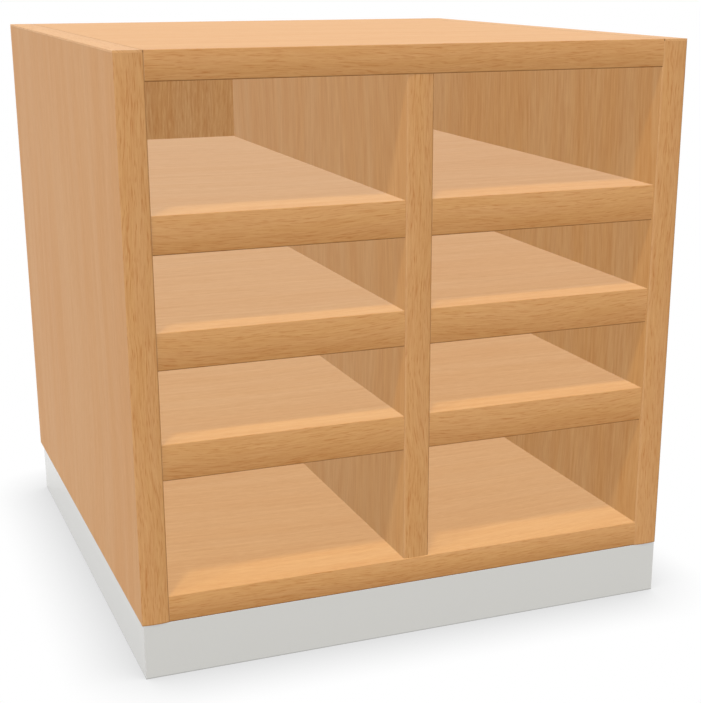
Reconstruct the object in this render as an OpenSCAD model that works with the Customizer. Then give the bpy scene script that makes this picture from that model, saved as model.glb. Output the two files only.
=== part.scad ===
// Mail sorting cabinet: two columns of four open compartments on a plinth.
// Sizes are in millimetres. X runs across the front, Y to the rear and Z up.
// The origin is on the floor, under the middle of the cabinet.

/* [Carcass] */
// Width over the side panels
cabinet_w = 545; // [500:5:620]
// Depth from the front edges to the rear edges
cabinet_d = 570; // [500:5:640]
// Thickness of the side, top, bottom and divider boards
board_t = 25.5; // [23:0.5:28]
// Thickness of an edge band at its middle
band_t = 2; // [1.5:0.5:3]
// Thickness of a crowned edge band at its long edges
band_edge_t = 0.8; // [0.6:0.1:1.2]
// Rounding of an edge band's outer long edges
band_r = 0.6; // [0.2:0.1:0.6]

/* [Compartments] */
// Clear height of the top and the bottom compartments
tall_clear_h = 111; // [95:1:150]
// Clear height of the two middle compartments
low_clear_h = 68; // [60:1:110]
// Thickness of a shelf
shelf_t = 34; // [28:1:40]
// Distance from the side panels' front edges back to a shelf's front edge
shelf_setback = 3; // [1:0.5:10]
// Distance from the side panels' front edges back to the divider's front edge
divider_setback = 1.5; // [0.5:0.5:6]
// Gap between a shelf's end and the wall beside it
shelf_end_gap = 0.5; // [0.3:0.1:0.9]
// Gap between a shelf's rear edge and the back panel
shelf_rear_gap = 1; // [0.5:0.5:3]

/* [Back panel] */
// Thickness of the back panel
back_t = 8; // [6:1:12]
// Distance from the carcass's rear edges in to the back panel's rear face
back_recess = 13; // [10:1:25]
// Depth of the groove that the back panel sits in
groove_depth = 8; // [6:1:10]
// Gap on each face of the back panel in its groove
groove_face_gap = 0.1; // [0.05:0.05:0.3]
// Gap between the back panel's edges and the bottom of the groove
groove_end_gap = 0.5; // [0.3:0.1:0.9]
// Distance from a compartment's corner to the nearest screw in the back panel
back_screw_inset = 55; // [40:5:90]
// Number of screws that hold the back panel to the divider
back_screw_count = 4; // [2:1:6]
// Depth that a back panel screw reaches into the divider
back_screw_bite = 18; // [12:1:25]

/* [Carcass joints] */
// Radial gap between a fitting and its bore
bore_gap = 0.1; // [0.05:0.05:0.2]
// Gap between the end of a fitting and the bottom of its bore
bore_end_gap = 0.5; // [0.3:0.1:0.9]
// Diameter of a cam housing
cam_d = 15; // [12:1:18]
// Depth of a cam housing in its board
cam_depth = 16; // [14.5:0.5:18]
// Distance from a board's end to the middle of its cam
cam_reach = 34; // [28:1:40]
// Distance from the carcass's front and rear edges to the cams' centre lines
cam_inset = 100; // [95:5:130]
// Diameter of a cam bolt's body
cam_bolt_d = 7; // [6:0.5:8]
// Diameter of a cam bolt's thread in the board's face
cam_thread_d = 5; // [4:0.5:6]
// Length of a cam bolt's thread in the board's face
cam_thread_l = 11; // [8:1:13]
// Diameter of a cam bolt's neck behind its head
cam_neck_d = 3.5; // [3:0.5:5]
// Diameter of a cam bolt's head
cam_head_d = 6; // [5.5:0.5:7]
// Length of a cam bolt's head
cam_head_l = 3; // [2:0.5:4]
// Length of a cam bolt's neck
cam_neck_l = 4; // [3:0.5:5]
// Diameter of a dowel
dowel_d = 8; // [6:1:10]
// Length of a dowel in the end of a board
dowel_end_l = 23; // [18:1:28]
// Length of a dowel in the face of a board
dowel_face_l = 12; // [8:1:14]
// Distance between a cam and the dowel beside it
dowel_pitch = 32; // [28:1:48]

/* [Shelf supports] */
// Diameter of a support's shank
pin_d = 5; // [4:0.5:6]
// Length of a support's shank in the wall
pin_shank_l = 9; // [7:0.5:10]
// Diameter of a support's head
pin_head_d = 8; // [7:0.5:10]
// Length of a support's head under the shelf
pin_head_l = 9; // [7:0.5:12]
// Height cut flat off the top of a support's head
pin_flat = 1; // [0.5:0.25:1.5]
// Distance from a shelf's front and rear edges to its supports
pin_inset = 60; // [40:5:90]
// Gap round a support's head in the shelf's notch
notch_gap = 0.5; // [0.3:0.1:0.9]

/* [Plinth] */
// Height of the plinth
plinth_h = 54; // [50:1:90]
// Thickness of the plinth's rails
plinth_t = 18; // [16:1:22]
// Distance of the plinth's front and sides inside the carcass
plinth_inset = 1; // [0:0.5:10]
// Distance of the plinth's rear inside the carcass
plinth_rear_inset = 20; // [10:5:40]
// Width and depth of a corner block
block_w = 50; // [46:1:60]
// Distance from a block's inner faces to the screws into the rails
rail_screw_inset = 12; // [8:1:14]
// Height of the lower rail screw above the block's underside
rail_screw_low = 12; // [10:1:16]
// Height of the upper rail screw above the lower one
rail_screw_rise = 15; // [12:1:18]
// Depth that a rail screw reaches into its rail
rail_screw_bite = 12; // [8:1:14]
// Depth that a riser screw reaches into the bottom panel
riser_screw_bite = 14; // [10:1:18]
// Distance of a riser screw from the levelling foot, across and back
riser_offset = 10; // [9:1:12]

/* [Screws] */
// Diameter of a wood screw
screw_d = 4; // [3:0.5:5]
// Diameter of a wood screw's head
screw_head_d = 8; // [7:0.5:9]
// Depth of the cross in a screw's head or a cam
cross_depth = 1.2; // [0.8:0.1:2]
// Width of the arms of the cross
cross_w = 1; // [0.8:0.1:1.4]

/* [Levelling feet] */
// Gap between a pad and the floor with the foot screwed in
pad_lift = 0.5; // [0.3:0.1:1]
// Diameter of a pad
pad_d = 30; // [24:1:36]
// Thickness of a pad
pad_t = 6; // [5:0.5:8]
// Depth of the socket in a pad
socket_depth = 4; // [3:0.5:4.5]
// Distance between a pad's rim and the rails beside it
pad_rail_gap = 3; // [2:0.5:6]
// Diameter of a levelling spindle
spindle_d = 8; // [6:1:9]
// Length of a spindle above its hexagon
spindle_l = 34; // [26:1:36]
// Size across the flats of a spindle's hexagon
hex_af = 13; // [11:1:15]
// Height of a spindle's hexagon
hex_t = 5; // [4:0.5:6]
// Diameter of a threaded insert
insert_d = 12; // [11:0.5:13]
// Length of a threaded insert
insert_l = 13; // [10:1:16]
// Radial running gap between a spindle and what it turns in
run_gap = 0.05; // [0.02:0.01:0.1]
// Gap between a hexagon and the pieces above and below it
hex_gap = 0.3; // [0.2:0.1:0.5]

/* [Hidden] */
$fn = 48;
BEECH = [0.87, 0.68, 0.48];
BEECH_EDGE = [0.77, 0.57, 0.36];
BACK_BEECH = [0.72, 0.53, 0.34];
PLINTH_GREY = [0.79, 0.79, 0.77];
BARE_WOOD = [0.85, 0.73, 0.55];
STEEL = [0.75, 0.76, 0.78];
ZINC = [0.66, 0.67, 0.68];
PLASTIC = [0.15, 0.15, 0.16];

// Extra length of a cutting shape past the surface that it opens
CUT = 1;
// How far a crowned band's corner roundings stand proud of its arc
BAND_CORNER_LAP = 0.02;
SHELF_COUNT = 3;
LEFT = -1;
RIGHT = 1;
FRONT = -1;
REAR = 1;

front_y = -cabinet_d / 2;
rear_y = cabinet_d / 2;
inner_w = cabinet_w - 2 * board_t;
inner_h = 2 * tall_clear_h + (SHELF_COUNT - 1) * low_clear_h + SHELF_COUNT * shelf_t;
floor_z = plinth_h + board_t;
ceiling_z = floor_z + inner_h;
top_z = ceiling_z + board_t;
carcass_h = top_z - plinth_h;
bay_w = (inner_w - board_t) / 2;
bay_x = (board_t + bay_w) / 2;
back_front_y = rear_y - back_recess - back_t;

cam_y = cabinet_d / 2 - cam_inset;
cam_rows = [-cam_y, cam_y];
dowel_rows = [dowel_pitch - cam_y, 0, cam_y - dowel_pitch];

shelf_front_y = front_y + shelf_setback;
shelf_rear_y = back_front_y - shelf_rear_gap;
shelf_w = bay_w - 2 * shelf_end_gap;
pin_rows = [shelf_front_y + pin_inset, shelf_rear_y - pin_inset];
notch_h = notch_gap + pin_head_d - pin_flat;

plinth_w = cabinet_w - 2 * plinth_inset;
plinth_front_y = front_y + plinth_inset;
plinth_rear_y = rear_y - plinth_rear_inset;
hex_z = pad_lift + pad_t + hex_gap;
block_z = hex_z + hex_t + hex_gap;
block_h = plinth_h - block_z;
foot_inset = pad_d / 2 + pad_rail_gap;
riser_inset = foot_inset + riser_offset;

// Lower face of shelf i, where 0 is the lowest
function shelf_z(i) = floor_z + tall_clear_h + i * (shelf_t + low_clear_h);

// A screw with a countersunk head at the origin, pointing along +Z
module screw(length) {
    head_h = (screw_head_d - screw_d) / 2;
    difference() {
        union() {
            cylinder(d1 = screw_head_d, d2 = screw_d, h = head_h);
            cylinder(d = screw_d, h = length - screw_d);
            translate([0, 0, length - screw_d])
                cylinder(d1 = screw_d, d2 = screw_d / 4, h = screw_d);
        }
        cross_recess();
    }
}

// The bore and countersink of a screw, open below the origin
module screw_bore(length) {
    head_h = (screw_head_d - screw_d) / 2;
    translate([0, 0, -CUT])
        cylinder(d = screw_head_d + 2 * bore_gap, h = CUT);
    cylinder(d1 = screw_head_d + 2 * bore_gap, d2 = screw_d + 2 * bore_gap, h = head_h);
    cylinder(d = screw_d + 2 * bore_gap, h = length + bore_end_gap);
}

// The cross that a driver turns, cut up into a face at the origin
module cross_recess() {
    arm = screw_head_d * 0.6;
    for (turn = [0, 90])
        rotate([0, 0, turn])
            translate([-arm / 2, -cross_w / 2, -CUT])
                cube([arm, cross_w, cross_depth + CUT]);
}

// A flat edge band's section: w wide, its outer corners rounded, growing along +Y
module flat_band_section(w) {
    translate([-w / 2, 0])
        square([w, band_t - band_r]);
    translate([band_r - w / 2, 0])
        square([w - 2 * band_r, band_t]);
    for (side = [LEFT, RIGHT])
        translate([side * (w / 2 - band_r), band_t - band_r])
            circle(r = band_r);
}

// A crowned edge band's section: its outer face is an arc. The roundings of its
// outer corners stand a hair proud of the arc, so that the two cross cleanly
module band_section(w) {
    crown = band_t - band_edge_t;
    arc_r = (w * w / 4 + crown * crown) / (2 * crown);
    corner_x = w / 2 - band_r;
    corner_reach = arc_r - band_r + BAND_CORNER_LAP;
    corner_y = band_t - arc_r + sqrt(pow(corner_reach, 2) - pow(corner_x, 2));
    arc_x = corner_x * arc_r / (arc_r - band_r);
    translate([-w / 2, 0])
        square([w, corner_y]);
    intersection() {
        translate([0, band_t - arc_r])
            circle(r = arc_r, $fn = 720);
        translate([-arc_x, 0])
            square([2 * arc_x, band_t]);
    }
    for (side = [LEFT, RIGHT])
        translate([side * corner_x, corner_y])
            intersection() {
                circle(r = band_r);
                translate([-band_r, 0])
                    square([2 * band_r, band_r]);
            }
}

// A crowned band on an edge that faces the front, its outer face at y = 0
module upright_band(w, h) {
    color(BEECH_EDGE)
        translate([0, band_t, 0])
            rotate([0, 0, 180])
                linear_extrude(h) band_section(w);
}

// The same band lying along X, w high, its outer face at y = 0
module level_band(w, length) {
    color(BEECH_EDGE)
        translate([-length / 2, band_t, w / 2])
            rotate([90, 0, 90])
                rotate([0, 0, 90])
                    linear_extrude(length) band_section(w);
}

// Puts its children at each joint between a side panel and the top or bottom
// panel. There X points into the board whose end is joined, and the cams open
// downward.
module at_panel_ends(rows) {
    for (y = rows, z = [plinth_h + board_t / 2, ceiling_z + board_t / 2], side = [0, 1])
        mirror([side, 0, 0])
            translate([-inner_w / 2, y, z])
                children();
}

// Puts its children at each joint between the divider and the top or bottom
// panel. The divider's cams open to the right.
module at_divider_ends(rows) {
    for (y = rows, end = [0, 1])
        translate([0, y, floor_z + inner_h / 2])
            mirror([0, 0, end])
                translate([0, 0, -inner_h / 2])
                    rotate([0, -90, 0])
                        children();
}

module at_cam_joints() {
    at_panel_ends(cam_rows) children();
    at_divider_ends(cam_rows) children();
}

module at_dowel_joints() {
    at_panel_ends(dowel_rows) children();
    at_divider_ends(dowel_rows) children();
}

// A cam housing with a slot for the bolt and a cross in its open face
module cam_housing() {
    slot_w = cam_head_d + 2 * bore_end_gap;
    translate([cam_reach, 0, -board_t / 2])
        difference() {
            cylinder(d = cam_d, h = cam_depth - bore_end_gap);
            translate([-cam_d / 2 - CUT, -slot_w / 2, board_t / 2 - slot_w / 2])
                cube([cam_d / 2 + CUT + cam_head_l, slot_w, cam_depth]);
            cross_recess();
        }
}

// A cam bolt: thread in the face board, body and head reaching to the cam
module cam_bolt() {
    body_l = cam_reach - cam_neck_l - cam_head_l / 2;
    rotate([0, 90, 0]) {
        translate([0, 0, -cam_thread_l])
            cylinder(d = cam_thread_d, h = cam_thread_l);
        cylinder(d = cam_bolt_d, h = body_l - cam_d / 4);
        translate([0, 0, body_l - cam_d / 4])
            cylinder(d = cam_neck_d, h = cam_neck_l + cam_d / 4);
        translate([0, 0, body_l + cam_neck_l])
            cylinder(d = cam_head_d, h = cam_head_l);
    }
}

// The bores of one cam joint in both of its boards
module cam_joint_cut() {
    rotate([0, 90, 0]) {
        translate([0, 0, -cam_thread_l - bore_end_gap])
            cylinder(d = cam_thread_d + 2 * bore_gap, h = cam_thread_l + bore_end_gap + CUT);
        cylinder(d = cam_bolt_d + 2 * bore_gap, h = cam_reach);
    }
    translate([cam_reach, 0, -board_t / 2 - CUT])
        cylinder(d = cam_d + 2 * bore_gap, h = cam_depth + CUT);
}

module dowel() {
    translate([-dowel_face_l, 0, 0])
        rotate([0, 90, 0])
            cylinder(d = dowel_d, h = dowel_face_l + dowel_end_l);
}

// The bore of one dowel in both of its boards
module dowel_cut() {
    translate([-dowel_face_l - bore_end_gap, 0, 0])
        rotate([0, 90, 0])
            cylinder(d = dowel_d + 2 * bore_gap, h = dowel_face_l + dowel_end_l + 2 * bore_end_gap);
}

module carcass_joint_cuts() {
    at_cam_joints() cam_joint_cut();
    at_dowel_joints() dowel_cut();
}

// The space of the back panel and the groove round it
module back_groove_cut() {
    grow = groove_depth;
    translate([-inner_w / 2 - grow, back_front_y - groove_face_gap, floor_z - grow])
        cube([inner_w + 2 * grow, back_t + 2 * groove_face_gap, inner_h + 2 * grow]);
}

// Puts its children at each shelf support of one column, with X pointing from
// the wall into the compartment
module at_column_supports(column) {
    for (i = [0 : SHELF_COUNT - 1], y = pin_rows, wall = [0, 1])
        translate([column * bay_x, y, shelf_z(i) + notch_gap + pin_head_d / 2])
            mirror([wall, 0, 0])
                translate([-bay_w / 2, 0, 0])
                    children();
}

module at_supports() {
    at_column_supports(LEFT) children();
    at_column_supports(RIGHT) children();
}

// A shelf support: round shank in the wall, head with a flat top
module shelf_support() {
    translate([-pin_shank_l, 0, 0])
        rotate([0, 90, 0])
            cylinder(d = pin_d, h = pin_shank_l + pin_head_l / 2);
    difference() {
        rotate([0, 90, 0])
            cylinder(d = pin_head_d, h = pin_head_l);
        translate([-CUT, -pin_head_d, pin_head_d / 2 - pin_flat])
            cube([pin_head_l + 2 * CUT, 2 * pin_head_d, pin_head_d]);
    }
}

module support_bore() {
    depth = pin_shank_l + bore_end_gap;
    translate([-depth, 0, 0])
        rotate([0, 90, 0])
            cylinder(d = pin_d + 2 * bore_gap, h = depth + CUT);
}

// The screws through the back panel into the divider's rear edge
module at_back_screws() {
    run = inner_h - 2 * back_screw_inset;
    for (i = [0 : back_screw_count - 1])
        translate([0, rear_y - back_recess, floor_z + back_screw_inset + i * run / (back_screw_count - 1)])
            rotate([90, 0, 0])
                children();
}

module back_screw_cuts() {
    at_back_screws() screw_bore(back_t + back_screw_bite);
}

module side_panel(side) {
    color(BEECH)
        difference() {
            translate([
                side * (inner_w + board_t) / 2 - board_t / 2,
                front_y + band_t,
                plinth_h
            ])
                cube([board_t, cabinet_d - 2 * band_t, carcass_h - band_t]);
            carcass_joint_cuts();
            at_supports() support_bore();
            back_groove_cut();
        }
}

// The top or bottom panel, with its lower face at height z
module level_panel(z) {
    color(BEECH)
        difference() {
            translate([-inner_w / 2, front_y + band_t, z])
                cube([inner_w, cabinet_d - 2 * band_t, board_t]);
            carcass_joint_cuts();
            back_groove_cut();
            at_corners() riser_screw_cut();
        }
}

module centre_divider() {
    divider_y = front_y + divider_setback + band_t;
    color(BEECH)
        difference() {
            translate([-board_t / 2, divider_y, floor_z])
                cube([board_t, back_front_y - divider_y, inner_h]);
            carcass_joint_cuts();
            at_supports() support_bore();
            back_screw_cuts();
        }
}

module back_panel() {
    grow = groove_depth - groove_end_gap;
    color(BACK_BEECH)
        difference() {
            translate([-inner_w / 2 - grow, back_front_y, floor_z - grow])
                cube([inner_w + 2 * grow, back_t, inner_h + 2 * grow]);
            back_screw_cuts();
        }
}

// A shelf of a column, notched underneath for its four supports
module shelf(column, i) {
    core_y = shelf_front_y + band_t;
    color(BEECH)
        difference() {
            translate([column * bay_x - shelf_w / 2, core_y, shelf_z(i)])
                cube([shelf_w, shelf_rear_y - core_y, shelf_t]);
            for (y = pin_rows, wall = [LEFT, RIGHT])
                translate([column * bay_x + wall * bay_w / 2, y, shelf_z(i)])
                    shelf_notch();
        }
}

// A notch in a shelf's lower face, centred on the wall beside it
module shelf_notch() {
    reach = pin_head_l + notch_gap;
    width = pin_head_d + 2 * notch_gap;
    translate([-reach, -width / 2, -CUT])
        cube([2 * reach, width, notch_h + CUT]);
}

module shelf_band(column, i) {
    translate([column * bay_x, shelf_front_y, shelf_z(i)])
        level_band(shelf_t, shelf_w);
}

module side_front_band(side) {
    translate([side * (inner_w + board_t) / 2, front_y, plinth_h])
        upright_band(board_t, carcass_h - band_t);
}

module side_rear_band(side) {
    mirror([0, 1, 0])
        side_front_band(side);
}

// The band on a side panel's upper edge: it lies over the ends of the panel's
// other bands, and is trimmed to their crowned faces
module side_top_band(side) {
    color(BEECH_EDGE)
        translate([side * (inner_w + board_t) / 2, 0, top_z - band_t])
            intersection() {
                translate([0, rear_y, 0])
                    rotate([90, 0, 0])
                        linear_extrude(cabinet_d) flat_band_section(board_t);
                union() {
                    translate([-board_t / 2, front_y + band_t, 0])
                        cube([board_t, cabinet_d - 2 * band_t, band_t]);
                    for (end = [0, 1])
                        mirror([0, end, 0])
                            translate([0, front_y, 0])
                                upright_band(board_t, band_t);
                }
            }
}

// The front band of the top or bottom panel, whose lower face is at height z
module level_front_band(z) {
    translate([0, front_y, z])
        level_band(board_t, inner_w);
}

module level_rear_band(z) {
    mirror([0, 1, 0])
        level_front_band(z);
}

module divider_front_band() {
    translate([0, front_y + divider_setback, floor_z])
        upright_band(board_t, inner_h);
}

// Puts its children at a corner of the plinth, at the rails' inner faces and
// on the floor, with X and Y pointing inward
module at_corner(side, end) {
    corner_y = end == FRONT ? plinth_front_y + plinth_t : plinth_rear_y - plinth_t;
    translate([side * (plinth_w / 2 - plinth_t), corner_y, 0])
        mirror([side == RIGHT ? 1 : 0, 0, 0])
            mirror([0, end == REAR ? 1 : 0, 0])
                children();
}

module at_corners() {
    for (side = [LEFT, RIGHT], end = [FRONT, REAR])
        at_corner(side, end)
            children();
}

// Puts its children at one of a block's two rail screws: turn 0 points into
// the side rail, and turn 1 into the front or rear rail, one above the other
module at_rail_screw(turn) {
    line = block_w - rail_screw_inset;
    height = block_z + rail_screw_low + turn * rail_screw_rise;
    place = turn == 0 ? [block_w, line, height] : [line, block_w, height];
    translate(place)
        rotate(turn == 0 ? [0, -90, 0] : [90, 0, 0])
            children();
}

module at_riser_screw() {
    translate([riser_inset, riser_inset, block_z])
        children();
}

module riser_screw_cut() {
    at_riser_screw() screw_bore(block_h + riser_screw_bite);
}

module rail_screw_cuts() {
    for (turn = [0, 1])
        at_rail_screw(turn) screw_bore(block_w + rail_screw_bite);
}

// A plinth rail with mitred ends: its outer face runs along X at y = 0
module mitred_rail(length) {
    linear_extrude(plinth_h)
        polygon([
            [-length / 2, 0],
            [length / 2, 0],
            [length / 2 - plinth_t, plinth_t],
            [plinth_t - length / 2, plinth_t]
        ]);
}

module plinth_cross_rail(end) {
    color(PLINTH_GREY)
        difference() {
            translate([0, end == FRONT ? plinth_front_y : plinth_rear_y, 0])
                mirror([0, end == REAR ? 1 : 0, 0])
                    mitred_rail(plinth_w);
            at_corners() rail_screw_cuts();
        }
}

module plinth_side_rail(side) {
    plinth_d = plinth_rear_y - plinth_front_y;
    color(PLINTH_GREY)
        difference() {
            translate([side * plinth_w / 2, plinth_front_y + plinth_d / 2, 0])
                rotate([0, 0, side * 90])
                    mitred_rail(plinth_d);
            at_corners() rail_screw_cuts();
        }
}

module corner_block(side, end) {
    color(BARE_WOOD)
        at_corner(side, end)
            difference() {
                translate([0, 0, block_z])
                    cube([block_w, block_w, block_h]);
                rail_screw_cuts();
                riser_screw_cut();
                translate([foot_inset, foot_inset, block_z - CUT]) {
                    cylinder(d = insert_d + 2 * bore_gap, h = insert_l + bore_end_gap + CUT);
                    cylinder(d = spindle_d + 2 * hex_gap, h = block_h + 2 * CUT);
                }
            }
}

module leveller_insert() {
    translate([foot_inset, foot_inset, block_z])
        difference() {
            cylinder(d = insert_d, h = insert_l);
            translate([0, 0, -CUT])
                cylinder(d = spindle_d + 2 * run_gap, h = insert_l + 2 * CUT);
        }
}

// A levelling spindle: foot in the pad's socket, hexagon and threaded stem
module leveller_spindle(side, end) {
    socket_z = pad_lift + pad_t - socket_depth + hex_gap;
    color(STEEL)
        at_corner(side, end)
            translate([foot_inset, foot_inset, 0]) {
                translate([0, 0, socket_z])
                    cylinder(d = spindle_d, h = hex_z + hex_t + spindle_l - socket_z);
                translate([0, 0, hex_z])
                    cylinder(r = hex_af / 2 / cos(30), h = hex_t, $fn = 6);
            }
}

module leveller_pad(side, end) {
    color(PLASTIC)
        at_corner(side, end)
            translate([foot_inset, foot_inset, pad_lift])
                difference() {
                    cylinder(d = pad_d, h = pad_t);
                    translate([0, 0, pad_t - socket_depth])
                        cylinder(d = spindle_d + 2 * run_gap, h = socket_depth + CUT);
                }
}

side_panel(LEFT);  // left_side_panel
side_panel(RIGHT);  // right_side_panel
level_panel(ceiling_z);  // top_panel
level_panel(plinth_h);  // bottom_panel
centre_divider();
back_panel();
shelf(LEFT, 2);  // left_upper_shelf
shelf(LEFT, 1);  // left_middle_shelf
shelf(LEFT, 0);  // left_lower_shelf
shelf(RIGHT, 2);  // right_upper_shelf
shelf(RIGHT, 1);  // right_middle_shelf
shelf(RIGHT, 0);  // right_lower_shelf
side_front_band(LEFT);  // left_side_front_band
side_front_band(RIGHT);  // right_side_front_band
side_top_band(LEFT);  // left_side_top_band
side_top_band(RIGHT);  // right_side_top_band
side_rear_band(LEFT);  // left_side_rear_band
side_rear_band(RIGHT);  // right_side_rear_band
level_front_band(ceiling_z);  // top_front_band
level_rear_band(ceiling_z);  // top_rear_band
level_front_band(plinth_h);  // bottom_front_band
level_rear_band(plinth_h);  // bottom_rear_band
divider_front_band();
shelf_band(LEFT, 2);  // left_upper_shelf_band
shelf_band(LEFT, 1);  // left_middle_shelf_band
shelf_band(LEFT, 0);  // left_lower_shelf_band
shelf_band(RIGHT, 2);  // right_upper_shelf_band
shelf_band(RIGHT, 1);  // right_middle_shelf_band
shelf_band(RIGHT, 0);  // right_lower_shelf_band
color(BARE_WOOD) at_dowel_joints() dowel();  // carcass_dowels
color(ZINC) at_cam_joints() cam_housing();  // cam_housings
color(STEEL) at_cam_joints() cam_bolt();  // cam_bolts
color(STEEL) at_supports() shelf_support();  // shelf_supports
color(STEEL) at_back_screws() screw(back_t + back_screw_bite);  // back_panel_screws
plinth_cross_rail(FRONT);  // plinth_front_rail
plinth_cross_rail(REAR);  // plinth_rear_rail
plinth_side_rail(LEFT);  // plinth_left_rail
plinth_side_rail(RIGHT);  // plinth_right_rail
corner_block(LEFT, FRONT);  // front_left_corner_block
corner_block(RIGHT, FRONT);  // front_right_corner_block
corner_block(LEFT, REAR);  // rear_left_corner_block
corner_block(RIGHT, REAR);  // rear_right_corner_block
color(STEEL) at_corners() for (turn = [0, 1]) at_rail_screw(turn) screw(block_w + rail_screw_bite);  // block_rail_screws
color(STEEL) at_corners() at_riser_screw() screw(block_h + riser_screw_bite);  // block_riser_screws
color(STEEL) at_corners() leveller_insert();  // leveller_inserts
leveller_spindle(LEFT, FRONT);  // front_left_leveller_spindle
leveller_spindle(RIGHT, FRONT);  // front_right_leveller_spindle
leveller_spindle(LEFT, REAR);  // rear_left_leveller_spindle
leveller_spindle(RIGHT, REAR);  // rear_right_leveller_spindle
leveller_pad(LEFT, FRONT);  // front_left_leveller_pad
leveller_pad(RIGHT, FRONT);  // front_right_leveller_pad
leveller_pad(LEFT, REAR);  // rear_left_leveller_pad
leveller_pad(RIGHT, REAR);  // rear_right_leveller_pad
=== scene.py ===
"""Looks of the mail sorting cabinet: finishes, levelling feet, studio, light and camera."""

import math

import bmesh
import bpy
from mathutils import Matrix, Vector


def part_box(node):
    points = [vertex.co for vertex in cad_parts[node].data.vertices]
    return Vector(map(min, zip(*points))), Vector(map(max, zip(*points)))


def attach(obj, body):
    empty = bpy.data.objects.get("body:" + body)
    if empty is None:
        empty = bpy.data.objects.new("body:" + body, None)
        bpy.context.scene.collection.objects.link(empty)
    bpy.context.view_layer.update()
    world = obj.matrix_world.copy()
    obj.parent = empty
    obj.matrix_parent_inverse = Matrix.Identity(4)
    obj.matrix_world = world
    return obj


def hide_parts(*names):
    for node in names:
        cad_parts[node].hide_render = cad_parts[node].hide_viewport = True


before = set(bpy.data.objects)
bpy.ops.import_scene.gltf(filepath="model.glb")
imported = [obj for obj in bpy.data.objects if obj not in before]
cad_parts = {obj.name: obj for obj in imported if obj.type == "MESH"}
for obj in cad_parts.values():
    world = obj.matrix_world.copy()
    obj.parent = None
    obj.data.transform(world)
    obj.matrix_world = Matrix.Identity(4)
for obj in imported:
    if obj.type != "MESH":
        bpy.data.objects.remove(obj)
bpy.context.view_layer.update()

MM = 0.001
X, Y, Z = range(3)
ENDS = ("front", "rear")
SIDES = ("left", "right")
CORNERS = [f"{end}_{side}" for end in ENDS for side in SIDES]

# Camera, measured from the photograph: place and directions in the model's frame
CAMERA_PLACE = (-0.51493, -1.45847, 0.63106)
CAMERA_FORWARD = (0.352656, 0.885884, -0.301402)
CAMERA_RIGHT = (0.929144, -0.369717, 0.000471)
FRAME_SIZE = (701, 703)
FOCAL_PIXELS = 1422.31
CENTRE_PIXEL = (371.48, 414.18)
SENSOR_MM = 36.0

# Finishes, as linear colours
BEECH_WARM = (0.720, 0.346, 0.118)
BEECH_PALE = (0.744, 0.393, 0.161)
EDGE_WARM = (0.690, 0.348, 0.128)
EDGE_CLEAR = (0.701, 0.357, 0.140)
EDGE_HIGHLIGHT = (0.770, 0.430, 0.200)
PLINTH_GREY = (0.748, 0.744, 0.752)
BARE_WOOD = (0.62, 0.44, 0.25)
ZINC_GREY = (0.50, 0.51, 0.52)
STEEL_GREY = (0.62, 0.62, 0.61)
FOOT_BLACK = (0.025, 0.025, 0.027)
FACE_ROUGHNESS = 0.50
FOIL_ROUGHNESS = 0.06
WOOD_ROUGHNESS = 0.8
ZINC_ROUGHNESS = 0.45
STEEL_ROUGHNESS = 0.35
PLASTIC_ROUGHNESS = 0.45
# Roughness in the painted shade line of a band, and beside it
SHADE_LINE_ROUGHNESS, BAND_ROUGHNESS = 0.92, 0.52

# What dark grain takes from a finish's red, green and blue
GRAIN_TINT = (0.92, 1.78, 2.6)
# Layers of the grain on boards and bands: changes a metre, along the grain and across it
FACE_PATCHES = (3.5, 34.0)
FACE_STREAKS = (6.0, 190.0)
FACE_FIBRES = (95.0, 760.0)
BAND_PATCHES = (9.0, 90.0)
BAND_LINES = (44.0, 800.0)
BAND_FLECKS = (75.0, 1250.0)
# How the grain wavers: changes a metre, along the grain and across it, and how far
FACE_WAVER = (2.6, 6.0, 0.05)
BAND_WAVER = (9.0, 10.0, 0.010)
# How the grain arches: its bend away from the middle of the piece, and how far
FACE_ARCH = (22.0, 0.009)
BAND_ARCH = (60.0, 0.005)
# How dark the lines and flecks of a band are
LINE_DEPTH = 0.36
FLECK_DEPTH = 0.18
# Depth of the pores in the beech decor
PORE_DEPTH = 0.05 * MM
# Tone along the edges of boards and rails: how far it reaches, and the tone at the edge
FACE_EDGE = (1.5 * MM, 0.97)
RAIL_EDGE = (1.2 * MM, 1.01)
# Painted shade at the foot of the plinth's rails, where they meet the floor
FOOT_SHADE = 0.6
# Texture of the other finishes: changes a metre along each axis, in wood along the grain first
FOIL_PEEL = (600.0, 600.0, 600.0)
FOIL_CLOUD = (9.0, 9.0, 9.0)
WOOD_RINGS = (6.0, 60.0, 40.0)
WOOD_FIBRES = (60.0, 1200.0, 1200.0)
TOOL_MARKS = (700.0, 700.0, 900.0)
METAL_STAIN = (90.0, 90.0, 90.0)
PLASTIC_GRAIN = (900.0, 900.0, 900.0)
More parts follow.
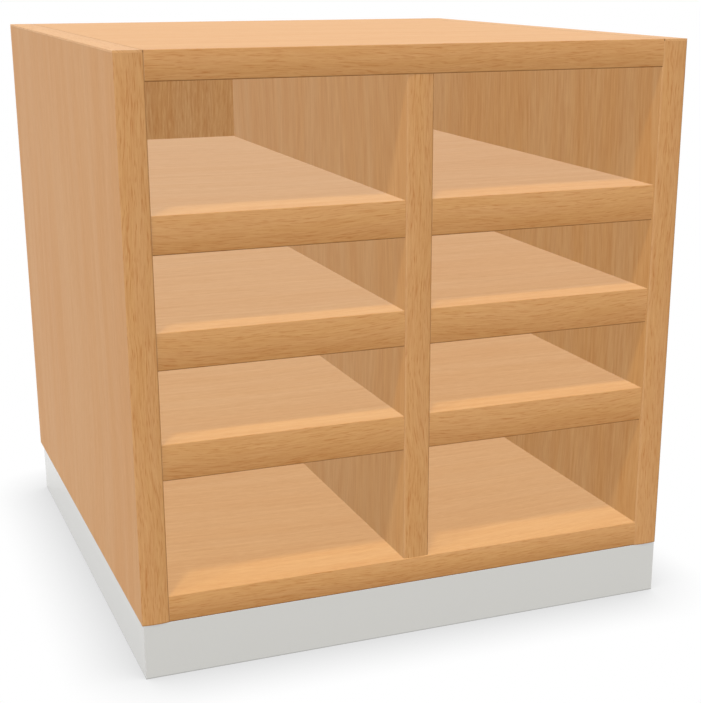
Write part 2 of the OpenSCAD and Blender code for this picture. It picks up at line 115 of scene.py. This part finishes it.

# Boards with upright grain. The shift sets a board's grain apart from the others', the tones of
# red, green and blue are painted shade, and ior sets the gloss. streak and fibre say how dark those
# are, and hue how much the patches differ. The compartments' walls have less gloss; the back is
# darkest, painted shade
UPRIGHT_BOARDS = {
    "left_side_panel": {
        "across": Y, "shift": 3.0, "tones": (0.97, 0.965, 0.965), "ior": 1.27,
        "streak": 0.12, "fibre": 0.17, "hue": 0.9,
    },
    "right_side_panel": {
        "across": Y, "shift": 4.7, "tones": (0.945, 0.93, 0.935), "ior": 1.16,
        "streak": 0.20, "fibre": 0.29, "fibres": (32.0, 380.0), "hue": 0.8,
    },
    "centre_divider": {
        "across": Y, "shift": 6.4, "tones": (0.965, 0.96, 0.97), "ior": 1.2,
        "streak": 0.13, "fibre": 0.25, "fibres": (28.0, 380.0), "hue": 0.8,
    },
    "back_panel": {
        "across": X, "shift": 9.1, "tones": (0.87, 0.85, 0.86), "ior": 1.13,
        "streak": 0.20, "fibre": 0.46, "fibres": (60.0, 620.0), "hue": 0.6,
    },
}
# Boards with grain from left to right, and the shelves of each column. Their tones are painted
# light, lighter as they face up to the light
LEVEL_BOARDS = {
    "top_panel": {"shift": 12.3, "tones": (1.055, 1.075, 1.05), "ior": 1.40},
    "bottom_panel": {"shift": 15.2, "tones": (1.01, 1.025, 1.01), "ior": 1.36},
}
SHELVES = {
    "left": {"tones": (1.025, 1.045, 1.02), "ior": 1.38},
    "right": {"tones": (1.02, 1.025, 1.0), "ior": 1.30},
}

# Grain shifts of the shelves and of the bands: the first of a kind, and the step to the next
SHELF_SHIFTS = (20.0, 1.3)
SHELF_BAND_SHIFTS = (40.0, 1.9)
SIDE_TOP_SHIFTS = (63.0, 2.0)
UPRIGHT_SHIFTS = (70.0, 2.3)
TOP_BAND_SHIFTS = (83.0, 3.1)
BOTTOM_BAND_SHIFTS = (91.0, 3.1)

# Width of the painted shade line along a band's shaded long edge, and what it takes from each
# colour
SHADE_LINE_WIDTH = 1.5 * MM
SHADE_LINE_TINT = (1.0, 1.12, 1.3)
# Painted light and shade: tone of red, green and blue at a band's shaded long edge, and at its lit
# one
SHELF_TONES = ((0.948, 0.90, 0.835), (1.018, 1.045, 1.095))
TOP_FRONT_TONES = ((0.955, 0.93, 0.90), (0.985, 0.99, 1.01))
SIDE_TOP_TONES = ((1.10, 1.14, 1.15), (1.14, 1.19, 1.20))
UPRIGHT_TONES = ((1.015, 1.03, 1.07), (1.01, 1.025, 1.07))
# Reach of that change of tone, as a share of half the band's width
TONE_REACH = 1.6
# Painted highlight, a pale rim on an upright band's lit long edge: its width, and how pale it is
RIM_WIDTH = 2.6 * MM
RIM_HIGHLIGHT = 0.45
LEFT_RIM_HIGHLIGHT = 0.2

# Levelling feet
STEM_RADIUS = 4.0 * MM
STEM_LENGTH = 34.0 * MM
THREAD_PITCH = 1.25 * MM
THREAD_DEPTH = 0.7 * MM
# Where the thread's root ends and its crest starts and ends, as shares of the pitch
ROOT_END, CREST_START, CREST_END = 0.25, 0.5625, 0.6875
# Turns of thread below the stem, and turns beyond its length in all, which are cut off
LEAD_TURNS, SPARE_TURNS = 2.3, 3
TIP_BEVEL = 0.3 * MM
SHANK_BEVEL = 0.5 * MM
HEX_FLATS = 13.0 * MM
HEX_HEIGHT = 5.0 * MM
HEX_BEVEL = 0.4 * MM
HEX_TURN = math.pi / 6.0
# How far the spindle's shank and stem reach into its hexagon
SHELL_LAP = 0.5 * MM
SOCKET_RADIUS = 4.05 * MM
SOCKET_DEPTH = 4.0 * MM
PAD_SLOPE = 2.2 * MM
PAD_HOLLOW = 0.8 * MM
PAD_BEVEL = 0.35 * MM
# The pad's top, its hollow and the start of its rim, as shares of its radius
TOP_SHARE, HOLLOW_SHARE, RIM_SHARE = 0.52, 0.55, 0.62
SHANK_STEPS, THREAD_STEPS, PAD_STEPS = 48, 32, 64
# Edges that turn by more than this are bevelled, and those that turn by more than that stay sharp
BEVEL_ANGLE = 0.4
SHARP_ANGLE = 0.6
DOUBLES = 0.001 * MM

# Light: the open studio, brighter on the left and in front, and one soft lamp high on that side
STUDIO_LEVEL = 0.87
STUDIO_LEAN = (-0.23, -0.21, 0.0)
# The lamp's two halves: the direction in which each stands, and how bright it is
LAMPS = {"key_lamp": ((-0.275, -0.423, 1.0), 0.200), "side_lamp": ((-0.8, -0.423, 1.0), 0.083)}
LAMP_TINT = (1.0, 0.95, 0.61)
LAMP_SPREAD = 0.11
LAMP_DISTANCE = 3.0
# Floor: half its size, the light that it gives back, and its painted soft shadow round the plinth
FLOOR_HALF = 12.0
FLOOR_LEVEL = 0.31
SHADOW_REACH = 0.078
SHADOW_DEPTH = 0.5
SHADOW_SAMPLES = 16


class Term:
    """A socket of a node tree, with arithmetic that adds Math nodes."""

    def __init__(self, tree, socket):
        self.tree = tree
        self.socket = socket

    def math(self, operation, *others):
        values = dict(enumerate((self, *others)))
        return self.tree.add("ShaderNodeMath", {"operation": operation}, values)

    def __add__(self, other):
        return self.math("ADD", other)

    def __sub__(self, other):
        return self.math("SUBTRACT", other)

    def __mul__(self, other):
        return self.math("MULTIPLY", other)

    def __radd__(self, other):
        return self.math("ADD", other)

    def __rsub__(self, other):
        return self.math("MULTIPLY_ADD", -1.0, other)

    def __abs__(self):
        return self.math("ABSOLUTE")

    def lower(self, other):
        return self.math("MINIMUM", other)

    def higher(self, other):
        return self.math("MAXIMUM", other)

    def rise(self, low, high):
        """0 below low, 1 above high, and smooth between them."""
        settings = {"interpolation_type": "SMOOTHSTEP"}
        values = {"Value": self, "From Min": low, "From Max": high, "To Min": 0.0, "To Max": 1.0}
        return self.tree.add("ShaderNodeMapRange", settings, values)


class Tree:
    """The node tree of a material or of the world."""

    def __init__(self, owner):
        owner.use_nodes = True
        self.nodes = owner.node_tree.nodes
        self.links = owner.node_tree.links
        self.nodes.clear()

    def add(self, kind, settings=None, values=None, output=0):
        """A new node: its settings, then the values or links of its inputs."""
        node = self.nodes.new(kind)
        for name, setting in (settings or {}).items():
            setattr(node, name, setting)
        for name, value in (values or {}).items():
            if isinstance(value, Term):
                self.links.new(value.socket, node.inputs[name])
            else:
                node.inputs[name].default_value = value
        return Term(self, node.outputs[output])

    def place(self, centre):
        """X, Y and Z of the surface in metres, measured from centre."""
        coords = self.add("ShaderNodeTexCoord", output="Object")
        settings = {"operation": "SUBTRACT"}
        moved = self.add("ShaderNodeVectorMath", settings, {0: coords, 1: centre})
        return [
            self.add("ShaderNodeSeparateXYZ", None, {0: moved}, output=axis) for axis in (X, Y, Z)
        ]

    def vector(self, x, y, z):
        return self.add("ShaderNodeCombineXYZ", None, {0: x, 1: y, 2: z})

    def noise(self, vector, detail=2.0, roughness=0.5):
        values = {"Vector": vector, "Scale": 1.0, "Detail": detail, "Roughness": roughness}
        return self.add("ShaderNodeTexNoise", None, values)

    def texture(self, place, changes, detail=2.0):
        """Noise with its own number of changes a metre along each axis."""
        scaled = [axis * change for axis, change in zip(place, changes)]
        return self.noise(self.vector(*scaled), detail)

    def blend(self, share, first, second, mode="MIX"):
        """Colour first, changed to second by share."""
        settings = {"data_type": "RGBA", "blend_type": mode}
        values = {0: share, 6: opaque(first), 7: opaque(second)}
        return self.add("ShaderNodeMix", settings, values, output=2)

    def toned(self, colour, shades):
        """The colour times one shade, or times one each for red, green and blue."""
        if isinstance(shades, Term):
            shades = (shades, shades, shades)
        return self.blend(1.0, colour, self.vector(*shades), "MULTIPLY")

    def surface(self, colour, roughness, height, relief, ior=1.5, metallic=0.0):
        """A Principled surface, with relief metres of bump where height is 1."""
        bump = {"Strength": 1.0, "Distance": relief, "Height": height}
        values = {
            "Base Color": opaque(colour),
            "Roughness": roughness,
            "Metallic": metallic,
            "IOR": ior,
            "Normal": self.add("ShaderNodeBump", None, bump),
        }
        shader = self.add("ShaderNodeBsdfPrincipled", None, values)
        self.finish("ShaderNodeOutputMaterial", shader)

    def finish(self, kind, shader):
        output = self.nodes.new(kind)
        self.links.new(shader.socket, output.inputs["Surface"])


def opaque(colour):
    return colour if isinstance(colour, Term) else (*colour, 1.0)


def new_material(name):
    material = bpy.data.materials.new(name)
    return material, Tree(material)


def add_to_scene(name, data):
    thing = bpy.data.objects.new(name, data)
    bpy.context.scene.collection.objects.link(thing)
    return thing


def box_of(node):
    """Centre of a node's box, and half its size."""
    low, high = (Vector(corner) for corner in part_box(node))
    return (low + high) / 2, (high - low) / 2


def edge_distance(place, half):
    """Distance from a box's nearest edge, for a place on its surface."""
    x, y, z = (half[axis] - abs(place[axis]) for axis in (X, Y, Z))
    return x.lower(y).higher(x.higher(y).lower(z))


def edge_tone(place, half, width, tone):
    """tone at a box's edges, and 1 on its faces from width away."""
    return tone + edge_distance(place, half).rise(0.0, width) * (1.0 - tone)


def paint(node, material):
    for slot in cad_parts[node].material_slots:
        slot.material = material


def grain_axes(along, across):
    """Axis numbers along the grain, across it and into the board."""
    return along, across, 3 - along - across


def wavering(tree, a, c, t, shift, waver, arch):
    """How far across the grain a place is, once the grain wavers and arches."""
    length, width, reach = waver
    bend, bulge = arch
    drift = tree.noise(tree.vector(a * length + shift, c * width, t * width), 1.0)
    return c + t + (drift - 0.5) * reach - (a * a * bend).lower(1.0) * bulge


def grain_layer(tree, a, c, shift, layer, level, detail, roughness=0.5):
    """Noise drawn out along the grain. Layers at different levels have nothing in common."""
    length, width = layer
    return tree.noise(tree.vector(a * length + shift, c * width, level), detail, roughness)


def grained(tree, colour, dark):
    """The colour with its grain: dark is above 0 in dark fibres and below 0 in pale ones."""
    return tree.toned(colour, [1.0 - dark * share for share in GRAIN_TINT])


def beech_face(
    node, along, across, shift, tones, ior, streak=0.2, fibre=0.2, fibres=FACE_FIBRES, hue=0.3
):
    """Beech laminate on a board: fine fibres and streaks, faint arches and patches of hue."""
    material, tree = new_material(f"beech_laminate_{node}")
    centre, half = box_of(node)
    place = tree.place(centre)
    a, c, t = (place[axis] for axis in grain_axes(along, across))
    flow = wavering(tree, a, c, t, shift, FACE_WAVER, FACE_ARCH)
    patch = grain_layer(tree, a, flow, shift, FACE_PATCHES, level=0.5, detail=3.0)
    streaks = grain_layer(tree, a, flow, shift, FACE_STREAKS, level=1.5, detail=3.0, roughness=0.65)
    fine = grain_layer(tree, a, flow, shift, fibres, level=2.5, detail=2.0, roughness=0.6)
    dark = (streaks - 0.5) * streak + (fine - 0.5) * fibre
    share = 0.5 + (patch.rise(0.3, 0.7) - 0.5) * hue
    colour = grained(tree, tree.blend(share, BEECH_WARM, BEECH_PALE), dark)
    edge = edge_tone(place, half, *FACE_EDGE)
    # Painted light and shade: the board's tones make it lighter or darker as light falls on it
    colour = tree.toned(colour, [edge * tone for tone in tones])
    tree.surface(colour, FACE_ROUGHNESS + dark * 0.4, 1.0 - dark, PORE_DEPTH, ior=ior)
    paint(node, material)


def beech_band(
    node,
    along,
    across,
    shift,
    tones=SHELF_TONES,
    shaded=1,
    shade_line_depth=0.55,
    foot_shade_line=False,
    grain=0.85,
    pale=0.0,
    ior=1.3,
):
    """Beech edging: dense dark flecks, and painted shade that makes it darker and redder towards
    its shaded long edge.

    shaded is 1 or -1, the side of the across axis on which that edge lies.
    """
    material, tree = new_material(f"beech_edging_{node}")
    centre, half = box_of(node)
    place = tree.place(centre)
    a, c, t = (place[axis] for axis in grain_axes(along, across))
    flow = wavering(tree, a, c, t, shift, BAND_WAVER, BAND_ARCH)
    patch = grain_layer(tree, a, flow, shift, BAND_PATCHES, level=0.5, detail=3.0)
    lines = grain_layer(tree, a, flow, shift, BAND_LINES, level=1.5, detail=3.0, roughness=0.65)
    flecks = grain_layer(tree, a, flow, shift, BAND_FLECKS, level=2.5, detail=1.0, roughness=0.6)
    dark = ((lines - 0.5) * LINE_DEPTH + flecks.rise(0.52, 0.76) * FLECK_DEPTH) * grain
    colour = grained(tree, tree.blend(patch.rise(0.3, 0.7), EDGE_WARM, EDGE_CLEAR), dark)
    reach = half[across] - c * shaded
    # 0 in the painted shade line and 1 beside it
    shade_line = reach.rise(0.0, SHADE_LINE_WIDTH)
    # Painted shade at the foot of a side band, above the plinth
    if foot_shade_line:
        shade_line = shade_line.lower((half[Z] + a).rise(0.0, SHADE_LINE_WIDTH))
    # Painted highlight: a pale rim along the band's lit long edge
    if pale:
        rim = (2.0 * half[across] - reach).rise(0.0, RIM_WIDTH)
        colour = tree.blend((1.0 - rim) * pale, colour, EDGE_HIGHLIGHT)
    # Painted shade and light: darker and redder towards the shaded long edge, paler towards the lit
    # one
    rise = reach.rise(0.0, TONE_REACH * half[across])
    shades = [
        (low + rise * (high - low)) * (1.0 - (1.0 - shade_line) * (shade_line_depth * share))
        for low, high, share in zip(*tones, SHADE_LINE_TINT)
    ]
    roughness = SHADE_LINE_ROUGHNESS - shade_line * (SHADE_LINE_ROUGHNESS - BAND_ROUGHNESS) + dark * 0.3
    tree.surface(tree.toned(colour, shades), roughness, 1.0 - dark, PORE_DEPTH, ior=ior)
    paint(node, material)


def plinth_finish(node):
    """Smooth light grey foil with a faint orange-peel surface, and painted shade at its foot."""
    material, tree = new_material(f"plinth_foil_{node}")
    centre, half = box_of(node)
    place = tree.place(centre)
    peel = tree.texture(place, FOIL_PEEL)
    cloud = tree.texture(place, FOIL_CLOUD) - 0.5
    edge = edge_tone(place, half, *RAIL_EDGE)
    # Painted shade along the rail's foot, where it meets the floor
    foot = FOOT_SHADE + (place[Z] + half[Z]).rise(0.0, SHADE_LINE_WIDTH) * (1.0 - FOOT_SHADE)
    colour = tree.toned(PLINTH_GREY, (0.995 + cloud * 0.02) * edge * foot)
    tree.surface(colour, FOIL_ROUGHNESS + cloud * 0.04, peel, 0.002 * MM)
    paint(node, material)


def bare_wood_finish(node, along, across):
    """Unfinished beech of the blocks and dowels."""
    material, tree = new_material(f"bare_wood_{node}")
    centre, _ = box_of(node)
    place = tree.place(centre)
    place = [place[axis] for axis in grain_axes(along, across)]
    rings = tree.texture(place, WOOD_RINGS)
    fibres = tree.texture(place, WOOD_FIBRES)
    shade = 0.9 + rings.rise(0.3, 0.7) * 0.16 + (fibres - 0.5) * 0.2
    tree.surface(tree.toned(BARE_WOOD, shade), WOOD_ROUGHNESS, fibres, 0.1 * MM)
    paint(node, material)


def tooled_metal(name, colour, roughness):
    """Plated or cast metal with fine tool marks."""
    material, tree = new_material(f"metal_{name}")
    place = tree.place((0.0, 0.0, 0.0))
    marks = tree.texture(place, TOOL_MARKS, 3.0)
    stain = tree.texture(place, METAL_STAIN)
    shade = 0.92 + (stain - 0.5) * 0.2 + (marks - 0.5) * 0.08
    roughness = roughness + (marks - 0.5) * 0.2
    tree.surface(tree.toned(colour, shade), roughness, marks, 0.02 * MM, metallic=1.0)
    return material


def moulded_plastic(name):
    """Black moulded plastic with a fine grain."""
    material, tree = new_material(f"plastic_{name}")
    grain = tree.texture(tree.place((0.0, 0.0, 0.0)), PLASTIC_GRAIN)
    colour = tree.toned(FOOT_BLACK, 0.9 + grain * 0.2)
    tree.surface(colour, PLASTIC_ROUGHNESS + grain * 0.1, grain, 0.03 * MM)
    return material


def shift_of(shifts, number):
    first, step = shifts
    return first + step * number


def finish_boards():
    for node, looks in UPRIGHT_BOARDS.items():
        beech_face(node, Z, **looks)
    for node, looks in LEVEL_BOARDS.items():
        beech_face(node, X, Y, **looks)
    shelves = [(side, level) for side in SIDES for level in ("upper", "middle", "lower")]
    for number, (side, level) in enumerate(shelves):
        node = f"{side}_{level}_shelf"
        beech_face(node, X, Y, shift_of(SHELF_SHIFTS, number), **SHELVES[side])
        beech_band(f"{node}_band", X, Z, shift_of(SHELF_BAND_SHIFTS, number), shaded=-1)


def finish_bands():
    upright = [("divider_front_band", RIM_HIGHLIGHT)]
    sides = (("left", 1, LEFT_RIM_HIGHLIGHT), ("right", -1, RIM_HIGHLIGHT))
    for number, (side, inner, pale) in enumerate(sides):
        upright += [(f"{side}_side_{end}_band", pale) for end in ENDS]
        node, shift = f"{side}_side_top_band", shift_of(SIDE_TOP_SHIFTS, number)
        beech_band(node, Y, X, shift, SIDE_TOP_TONES, shaded=inner, shade_line_depth=0.8, ior=1.63)
    for number, (node, pale) in enumerate(upright):
        # The sides' bands end in a painted shade line above the plinth
        looks = {"shade_line_depth": 0.4, "foot_shade_line": "side" in node, "grain": 1.0, "pale": pale}
        beech_band(node, Z, X, shift_of(UPRIGHT_SHIFTS, number), UPRIGHT_TONES, **looks)
    for number, end in enumerate(ENDS):
        shift = shift_of(TOP_BAND_SHIFTS, number)
        beech_band(f"top_{end}_band", X, Z, shift, TOP_FRONT_TONES, shaded=-1)
        shift = shift_of(BOTTOM_BAND_SHIFTS, number)
        beech_band(f"bottom_{end}_band", X, Z, shift, shaded=-1, shade_line_depth=0.8)


def finish_plinth():
    for place in ENDS + SIDES:
        plinth_finish(f"plinth_{place}_rail")
    for corner in CORNERS:
        bare_wood_finish(f"{corner}_corner_block", Z, X)


def finish_fittings():
    bare_wood_finish("carcass_dowels", X, Y)
    paint("cam_housings", tooled_metal("cam_housings", ZINC_GREY, ZINC_ROUGHNESS))
    for node in (
        "cam_bolts",
        "shelf_supports",
        "back_panel_screws",
        "block_rail_screws",
        "block_riser_screws",
        "leveller_inserts",
    ):
        paint(node, tooled_metal(node, STEEL_GREY, STEEL_ROUGHNESS))


def lathe(profile, steps, climb=0.0):
    """A profile of (radius, height) pairs turned about the Z axis, raised by climb each turn."""
    solid = bmesh.new()
    points = [solid.verts.new((radius, 0.0, height)) for radius, height in profile]
    edges = [solid.edges.new(pair) for pair in zip(points, points[1:])]
    bmesh.ops.spin(
        solid,
        geom=points + edges,
        axis=(0.0, 0.0, 1.0),
        dvec=(0.0, 0.0, climb / steps),
        angle=2.0 * math.pi,
        steps=steps,
        use_merge=climb == 0.0,
    )
    bmesh.ops.remove_doubles(solid, verts=solid.verts[:], dist=DOUBLES)
    return solid


def soften(solid, offset):
    """Rounds the edges of a closed solid."""
    bmesh.ops.recalc_face_normals(solid, faces=solid.faces[:])
    edges = [edge for edge in solid.edges if edge.calc_face_angle(0.0) > BEVEL_ANGLE]
    bmesh.ops.bevel(
        solid,
        geom=edges,
        offset=offset,
        segments=2,
        profile=0.5,
        affect="EDGES",
        material=-1,
        clamp_overlap=True,
    )


def threaded_stem(low, high):
    """A closed screw thread from height low to high, with a bevelled tip."""
    crest, root = STEM_RADIUS, STEM_RADIUS - THREAD_DEPTH
    turns = math.ceil((high - low) / THREAD_PITCH) + SPARE_TURNS
    # The thread starts below the stem, out of step with the cuts, so that none meets a corner
    lead = low - LEAD_TURNS * THREAD_PITCH
    turn_profile = ((root, 0.0), (root, ROOT_END), (crest, CREST_START), (crest, CREST_END))
    profile = [
        (radius, lead + (turn + share) * THREAD_PITCH)
        for turn in range(turns)
        for radius, share in turn_profile
    ]
    stem = lathe(profile, THREAD_STEPS, THREAD_PITCH)
    for height, up in ((low, -1.0), (high, 1.0)):
        bmesh.ops.bisect_plane(
            stem,
            geom=stem.verts[:] + stem.edges[:] + stem.faces[:],
            plane_co=(0.0, 0.0, height),
            plane_no=(0.0, 0.0, up),
            clear_outer=True,
        )
    bmesh.ops.holes_fill(stem, edges=[edge for edge in stem.edges if edge.is_boundary], sides=0)
    for point in stem.verts:
        widest = root - TIP_BEVEL + high - point.co.z
        radius = point.co.xy.length
        if radius > widest:
            point.co.xy *= widest / radius
    return stem


def hexagon(low, high):
    """The spindle's hexagon between two heights, its edges softened."""
    radius = HEX_FLATS / 2.0 / math.cos(HEX_TURN)
    middle = Matrix.Translation((0.0, 0.0, (low + high) / 2.0))
    solid = bmesh.new()
    bmesh.ops.create_cone(
        solid,
        cap_ends=True,
        segments=6,
        radius1=radius,
        radius2=radius,
        depth=high - low,
        matrix=middle @ Matrix.Rotation(HEX_TURN, 4, "Z"),
    )
    soften(solid, HEX_BEVEL)
    return solid


def join(parts):
    """One mesh of several closed solids."""
    whole = bmesh.new()
    for part in parts:
        bmesh.ops.recalc_face_normals(part, faces=part.faces[:])
        shell = bpy.data.meshes.new("shell")
        part.to_mesh(shell)
        part.free()
        whole.from_mesh(shell)
        bpy.data.meshes.remove(shell)
    return whole


def stand_in_place(solid, name, node, body, material):
    """Puts a solid made at the origin where its node stands, and lets it take the node's part."""
    centre, _ = box_of(node)
    bmesh.ops.translate(solid, verts=solid.verts[:], vec=(centre.x, centre.y, 0.0))
    mesh = bpy.data.meshes.new(name)
    solid.to_mesh(mesh)
    solid.free()
    mesh.shade_smooth()
    mesh.set_sharp_from_angle(angle=SHARP_ANGLE)
    mesh.materials.append(material)
    piece = add_to_scene(name, mesh)
    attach(piece, body)
    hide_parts(node)


def build_spindle(corner):
    """A levelling spindle: plain foot, hexagon and threaded stem."""
    node = f"{corner}_leveller_spindle"
    centre, half = box_of(node)
    foot, tip = centre.z - half.z, centre.z + half.z
    shoulder = tip - STEM_LENGTH
    neck = shoulder - HEX_HEIGHT
    top = neck + SHELL_LAP
    shank = lathe([(0.0, foot), (STEM_RADIUS, foot), (STEM_RADIUS, top), (0.0, top)], SHANK_STEPS)
    soften(shank, SHANK_BEVEL)
    solid = join([shank, hexagon(neck, shoulder), threaded_stem(shoulder - SHELL_LAP, tip)])
    name, body = f"{corner}_threaded_spindle", f"{corner}_spindle_body"
    metal = tooled_metal(node, STEEL_GREY, STEEL_ROUGHNESS)
    stand_in_place(solid, name, node, body, metal)


def build_pad(corner):
    """A moulded pad: hollow base, rounded rim, and a sloping top up to the spindle's socket."""
    node = f"{corner}_leveller_pad"
    centre, half = box_of(node)
    base, top, rim = centre.z - half.z, centre.z + half.z, half.x
    profile = [
        (0.0, base + PAD_HOLLOW),
        (rim * HOLLOW_SHARE, base + PAD_HOLLOW),
        (rim * RIM_SHARE, base),
        (rim, base),
        (rim, top - PAD_SLOPE),
        (rim * TOP_SHARE, top),
        (SOCKET_RADIUS, top),
        (SOCKET_RADIUS, top - SOCKET_DEPTH),
        (0.0, top - SOCKET_DEPTH),
    ]
    solid = lathe(profile, PAD_STEPS)
    soften(solid, PAD_BEVEL)
    name, body = f"{corner}_moulded_pad", f"{corner}_pad_body"
    stand_in_place(solid, name, node, body, moulded_plastic(node))


def build_levelling_feet():
    for corner in CORNERS:
        build_spindle(corner)
        build_pad(corner)


def seen_directly(tree):
    """1 for rays that see or mirror the studio, and 0 for its light on dull surfaces."""
    rays = ("Is Camera Ray", "Is Glossy Ray", "Is Transmission Ray")
    camera, glossy, through = (tree.add("ShaderNodeLightPath", output=ray) for ray in rays)
    return camera.higher(glossy).higher(through)


def build_floor():
    """A white floor with a painted soft shadow close round the plinth."""
    mesh = bpy.data.meshes.new("studio_floor")
    sheet = bmesh.new()
    bmesh.ops.create_grid(sheet, x_segments=1, y_segments=1, size=FLOOR_HALF)
    sheet.to_mesh(mesh)
    sheet.free()
    floor = add_to_scene("studio_floor", mesh)
    material, tree = new_material("studio_floor")
    settings, values = {"samples": SHADOW_SAMPLES}, {"Distance": SHADOW_REACH}
    open_air = tree.add("ShaderNodeAmbientOcclusion", settings, values, output="AO")
    # Painted shadow: the floor as seen darkens by ambient occlusion close round the plinth
    light = 1.0 - (1.0 - open_air) * SHADOW_DEPTH
    seen = tree.add("ShaderNodeEmission", None, {"Color": tree.vector(light, light, light)})
    lit = tree.add("ShaderNodeBsdfDiffuse", None, {"Color": opaque((FLOOR_LEVEL,) * 3)})
    mixed = tree.add("ShaderNodeMixShader", None, {0: seen_directly(tree), 1: lit, 2: seen})
    tree.finish("ShaderNodeOutputMaterial", mixed)
    mesh.materials.append(material)


def build_studio():
    """The open studio: white where it is seen, and an even soft light."""
    world = bpy.data.worlds.new("studio")
    bpy.context.scene.world = world
    tree = Tree(world)
    direction = tree.add("ShaderNodeTexCoord", output="Generated")
    settings, values = {"operation": "DOT_PRODUCT"}, {0: direction, 1: STUDIO_LEAN}
    lean = tree.add("ShaderNodeVectorMath", settings, values, output="Value")
    seen = seen_directly(tree)
    level = seen + (1.0 - seen) * (STUDIO_LEVEL + lean)
    air = tree.add("ShaderNodeBackground", None, {"Color": (1.0,) * 4, "Strength": level})
    tree.finish("ShaderNodeOutputWorld", air)
    world.cycles.sampling_method = "NONE"


def build_lamps():
    for name, (direction, level) in LAMPS.items():
        lamp = bpy.data.lights.new(name, "SUN")
        lamp.energy = level * math.pi
        lamp.color = LAMP_TINT
        lamp.angle = LAMP_SPREAD
        holder = add_to_scene(name, lamp)
        holder.rotation_euler = Vector(direction).to_track_quat("Z", "Y").to_euler()
        holder.location = Vector(direction) * LAMP_DISTANCE


def open_to_studio_light():
    """The studio's even light reaches into the compartments, as it does in the photograph."""
    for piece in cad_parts.values():
        piece.visible_diffuse = False
        piece.visible_glossy = False


def build_camera():
    forward = Vector(CAMERA_FORWARD).normalized()
    right = Vector(CAMERA_RIGHT)
    right = (right - forward * right.dot(forward)).normalized()
    turn = Matrix((right, right.cross(forward), -forward)).transposed().to_4x4()
    camera = bpy.data.cameras.new("camera")
    longest = max(FRAME_SIZE)
    camera.sensor_width = SENSOR_MM
    camera.lens = FOCAL_PIXELS / longest * SENSOR_MM
    camera.shift_x = (FRAME_SIZE[0] / 2 - CENTRE_PIXEL[0]) / longest
    camera.shift_y = (CENTRE_PIXEL[1] - FRAME_SIZE[1] / 2) / longest
    holder = add_to_scene("camera", camera)
    holder.matrix_world = Matrix.Translation(CAMERA_PLACE) @ turn
    bpy.context.scene.camera = holder


bpy.context.scene.view_settings.view_transform = "Standard"
build_camera()
finish_boards()
finish_bands()
finish_plinth()
finish_fittings()
build_levelling_feet()
build_floor()
build_studio()
build_lamps()
open_to_studio_light()
